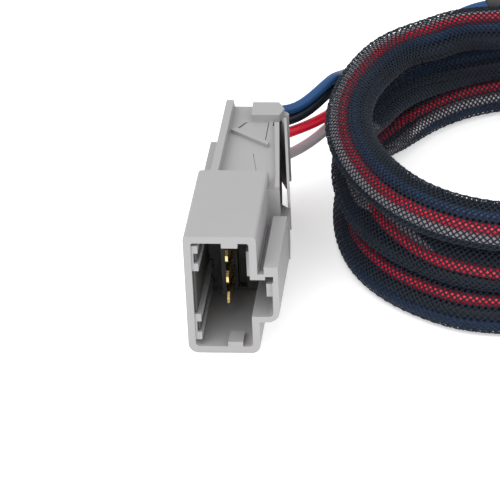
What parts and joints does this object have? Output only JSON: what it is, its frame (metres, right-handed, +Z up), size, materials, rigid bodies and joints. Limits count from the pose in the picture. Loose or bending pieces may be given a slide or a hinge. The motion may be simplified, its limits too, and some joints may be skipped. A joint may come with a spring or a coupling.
{
  "type": "brake controller wiring adapter",
  "caption": "Keyed grey power plug with a latch channel, a braided four-wire lead wound into an oval coil, and a flat latching socket for a brake controller.",
  "frame": {"origin": "middle of the power plug's underside, on the surface that the plug and the coil rest on", "axes": "+Z up; the plug's open mouth faces -Y; +X is the side with the latch channel, where the coil lies"},
  "size_m": [0.1764, 0.2142, 0.0425],
  "materials": {
    "grey_plastic": "fine moulded satin",
    "grey_plastic_lock": "fine moulded satin",
    "grey_plastic_arm": "fine moulded satin",
    "insert_plastic": "matte",
    "gold_plate": "plated, slightly worn",
    "tin_plate": "tin plated",
    "wire_blue": "satin extruded insulation",
    "wire_black": "satin extruded insulation",
    "wire_red": "satin extruded insulation",
    "wire_white": "satin extruded insulation",
    "braid": "open braid of fine monofilament",
    "shrink_tube": "matte shrink tubing",
    "black_plastic": "fine moulded satin",
    "black_plastic_latch": "fine moulded satin",
    "red_plastic": "satin"
  },
  "bodies": {
    "harness": {"plug_housing": "grey_plastic", "blade_holder": "insert_plastic", "blade_terminal_blue": "gold_plate", "blade_terminal_black": "gold_plate", "blade_terminal_red": "gold_plate", "blade_terminal_white": "gold_plate", "plug_wire_blue": "wire_blue", "plug_wire_black": "wire_black", "plug_wire_red": "wire_red", "plug_wire_white": "wire_white", "plug_end_band": "shrink_tube", "socket_end_band": "shrink_tube", "lead_in_sleeve": "braid", "coil": "braid", "lead_out_sleeve": "braid", "socket_wire_blue": "wire_blue", "socket_wire_black": "wire_black", "socket_wire_red": "wire_red", "socket_wire_white": "wire_white", "socket_housing": "black_plastic", "socket_terminal_blue": "tin_plate", "socket_terminal_black": "tin_plate", "socket_terminal_red": "tin_plate", "socket_terminal_white": "tin_plate"},
    "secondary_lock": {"secondary_lock": "grey_plastic_lock"},
    "side_arm": {"side_arm": "grey_plastic_arm"},
    "socket_latch": {"socket_latch": "black_plastic_latch"},
    "socket_terminal_lock": {"socket_terminal_lock": "red_plastic"}
  },
  "joints": [
    {"name": "secondary_lock_slide", "type": "slide", "parent": "harness", "child": "secondary_lock", "axis": [0, 0, 1], "range_m": [0, 0.00385]},
    {"name": "side_arm_flex", "type": "hinge", "parent": "harness", "child": "side_arm", "pos_m": [0.00775, 0.044, 0.0256], "axis": [0, 0, 1], "range_deg": [-2, 0], "stiffness_Nm_per_rad": 4},
    {"name": "socket_latch_press", "type": "hinge", "parent": "harness", "child": "socket_latch", "pos_m": [0.141, 0.1495, 0.0146], "axis": [0, 1, 0], "range_deg": [-8, 0], "stiffness_Nm_per_rad": 0.3},
    {"name": "socket_terminal_lock_slide", "type": "slide", "parent": "harness", "child": "socket_terminal_lock", "axis": [0, 1, 0], "range_m": [0, 0.003]}
  ]
}
